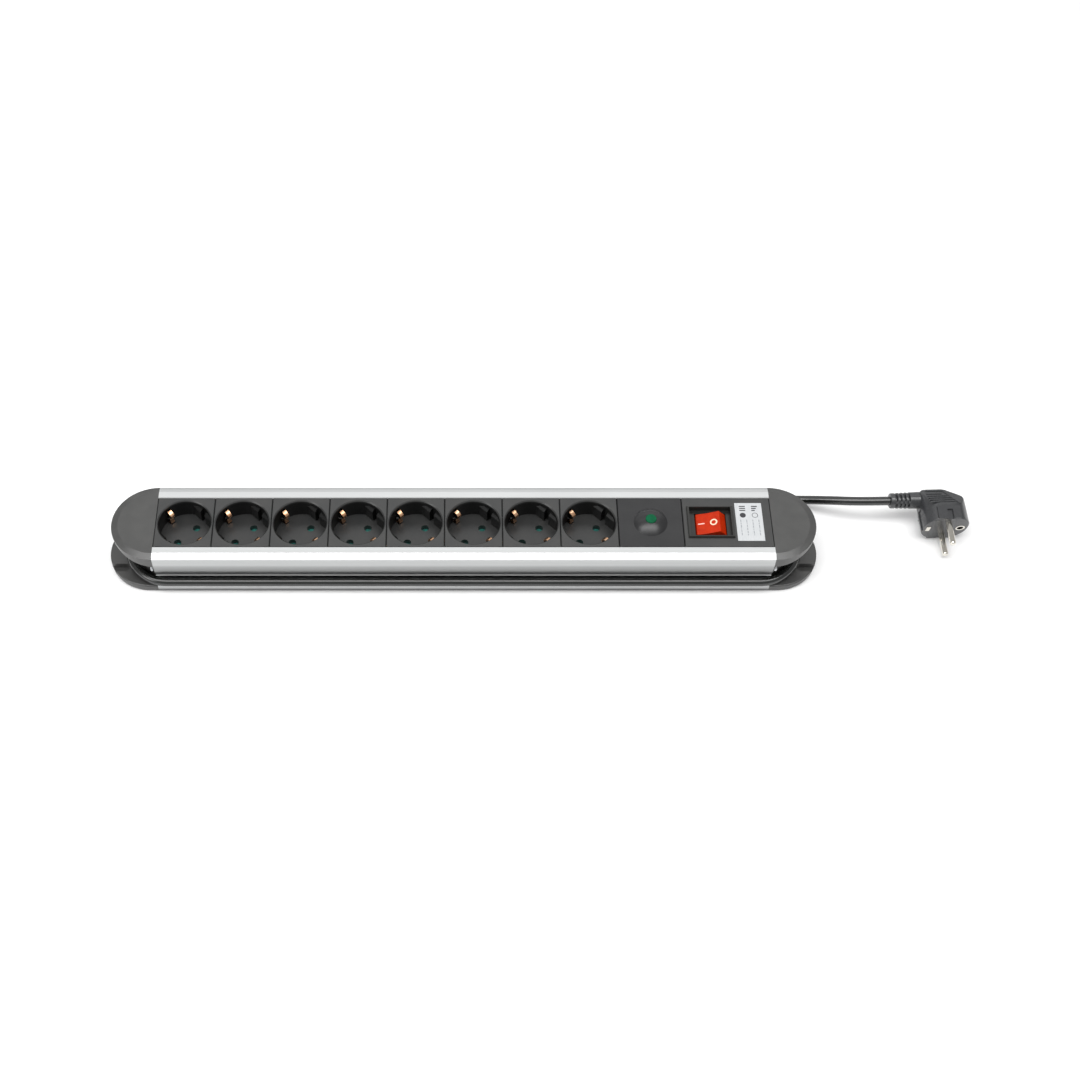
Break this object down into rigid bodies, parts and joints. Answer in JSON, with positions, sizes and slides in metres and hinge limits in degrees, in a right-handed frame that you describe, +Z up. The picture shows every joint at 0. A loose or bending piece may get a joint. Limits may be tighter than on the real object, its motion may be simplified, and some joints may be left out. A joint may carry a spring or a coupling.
{
  "type": "power strip",
  "caption": "Long aluminium power strip with earthed sockets, rocker switch, surge indicator, end caps that store the cord, and an angled plug.",
  "frame": {"origin": "middle of the base, on the surface the strip stands on", "axes": "+X along the strip towards the switch end, +Y to the back, +Z up"},
  "size_m": [0.6675, 0.0904, 0.0492],
  "materials": {
    "aluminium": "fine drawn, silver anodised",
    "cap_plastic": "matt, fine spark-eroded grain",
    "insert_plastic": "matt",
    "indicator_plastic": "satin",
    "switch_plastic": "satin",
    "rocker_red": "gloss, slightly translucent",
    "lens_green": "gloss, translucent",
    "led_green": "clear",
    "shutter_teal": "satin",
    "brass": "stamped",
    "copper": "stamped phosphor bronze",
    "zinc_steel": "zinc plated",
    "spring_steel": "bright",
    "nickel": "nickel plated",
    "carrier_plastic": "matt",
    "circuit_board": "satin",
    "varistor_blue": "epoxy coated",
    "fuse_white": "ceramic",
    "label_silver": "satin foil",
    "cord_rubber": "satin PVC",
    "plug_rubber": "satin PVC",
    "wire_brown": "PVC",
    "wire_blue": "PVC",
    "wire_green": "PVC"
  },
  "bodies": {
    "strip": {"housing_profile": "aluminium", "right_end_cap": "cap_plastic", "left_end_cap": "cap_plastic", "end_cap_screws": "zinc_steel", "shutter_springs": "spring_steel", "live_busbar": "brass", "neutral_busbar": "brass", "earth_busbar": "copper", "busbar_carrier": "carrier_plastic", "indicator_module": "indicator_plastic", "indicator_lens": "lens_green", "indicator_led": "led_green", "surge_board": "circuit_board", "surge_varistors": "varistor_blue", "surge_fuse": "fuse_white", "switch_module": "insert_plastic", "switch_housing": "switch_plastic", "switch_terminals": "brass", "rating_label": "label_silver", "cord_inlet": "cap_plastic", "cord_strain_relief": "cord_rubber", "cord_clamp": "carrier_plastic", "cord_clamp_screws": "zinc_steel", "live_wires": "wire_brown", "neutral_wires": "wire_blue", "earth_wire": "wire_green", "power_cord": "cord_rubber", "plug_body": "plug_rubber", "plug_boot": "plug_rubber", "plug_pins": "nickel", "plug_earth_strip": "nickel", "plug_earth_sleeve": "nickel", "socket_1": "insert_plastic", "socket_2": "insert_plastic", "socket_3": "insert_plastic", "socket_4": "insert_plastic", "socket_5": "insert_plastic", "socket_6": "insert_plastic", "socket_7": "insert_plastic", "socket_8": "insert_plastic"},
    "rocker": {"switch_rocker": "rocker_red", "switch_plunger": "carrier_plastic", "switch_spring": "spring_steel"},
    "contact_bridge": {"switch_contact_bridge": "copper"},
    "shutter_1": {"socket_1_shutter": "shutter_teal"},
    "shutter_2": {"socket_2_shutter": "shutter_teal"},
    "shutter_3": {"socket_3_shutter": "shutter_teal"},
    "shutter_4": {"socket_4_shutter": "shutter_teal"},
    "shutter_5": {"socket_5_shutter": "shutter_teal"},
    "shutter_6": {"socket_6_shutter": "shutter_teal"},
    "shutter_7": {"socket_7_shutter": "shutter_teal"},
    "shutter_8": {"socket_8_shutter": "shutter_teal"}
  },
  "joints": [
    {"name": "rocker_tilt", "type": "hinge", "parent": "strip", "child": "rocker", "pos_m": [0.1882, 0, 0.0356], "axis": [0, 1, 0], "range_deg": [0, 32]},
    {"name": "bridge_tilt", "type": "hinge", "parent": "strip", "child": "contact_bridge", "pos_m": [0.1882, 0, 0.0204], "axis": [0, 1, 0], "range_deg": [-8, 0]},
    {"name": "shutter_1_turn", "type": "hinge", "parent": "strip", "child": "shutter_1", "pos_m": [-0.2125, 0, 0.02085], "axis": [0, 0, 1], "range_deg": [0, 36], "stiffness_Nm_per_rad": 0.0004, "springref_deg": -20.05},
    {"name": "shutter_2_turn", "type": "hinge", "parent": "strip", "child": "shutter_2", "pos_m": [-0.1685, 0, 0.02085], "axis": [0, 0, 1], "range_deg": [0, 36], "stiffness_Nm_per_rad": 0.0004, "springref_deg": -20.05},
    {"name": "shutter_3_turn", "type": "hinge", "parent": "strip", "child": "shutter_3", "pos_m": [-0.1245, 0, 0.02085], "axis": [0, 0, 1], "range_deg": [0, 36], "stiffness_Nm_per_rad": 0.0004, "springref_deg": -20.05},
    {"name": "shutter_4_turn", "type": "hinge", "parent": "strip", "child": "shutter_4", "pos_m": [-0.0805, 0, 0.02085], "axis": [0, 0, 1], "range_deg": [0, 36], "stiffness_Nm_per_rad": 0.0004, "springref_deg": -20.05},
    {"name": "shutter_5_turn", "type": "hinge", "parent": "strip", "child": "shutter_5", "pos_m": [-0.0365, 0, 0.02085], "axis": [0, 0, 1], "range_deg": [0, 36], "stiffness_Nm_per_rad": 0.0004, "springref_deg": -20.05},
    {"name": "shutter_6_turn", "type": "hinge", "parent": "strip", "child": "shutter_6", "pos_m": [0.0075, 0, 0.02085], "axis": [0, 0, 1], "range_deg": [0, 36], "stiffness_Nm_per_rad": 0.0004, "springref_deg": -20.05},
    {"name": "shutter_7_turn", "type": "hinge", "parent": "strip", "child": "shutter_7", "pos_m": [0.0515, 0, 0.02085], "axis": [0, 0, 1], "range_deg": [0, 36], "stiffness_Nm_per_rad": 0.0004, "springref_deg": -20.05},
    {"name": "shutter_8_turn", "type": "hinge", "parent": "strip", "child": "shutter_8", "pos_m": [0.0955, 0, 0.02085], "axis": [0, 0, 1], "range_deg": [0, 36], "stiffness_Nm_per_rad": 0.0004, "springref_deg": -20.05}
  ],
  "couplings": [
    {"joint": "bridge_tilt", "follows": "rocker_tilt", "ratio": -0.25}
  ]
}
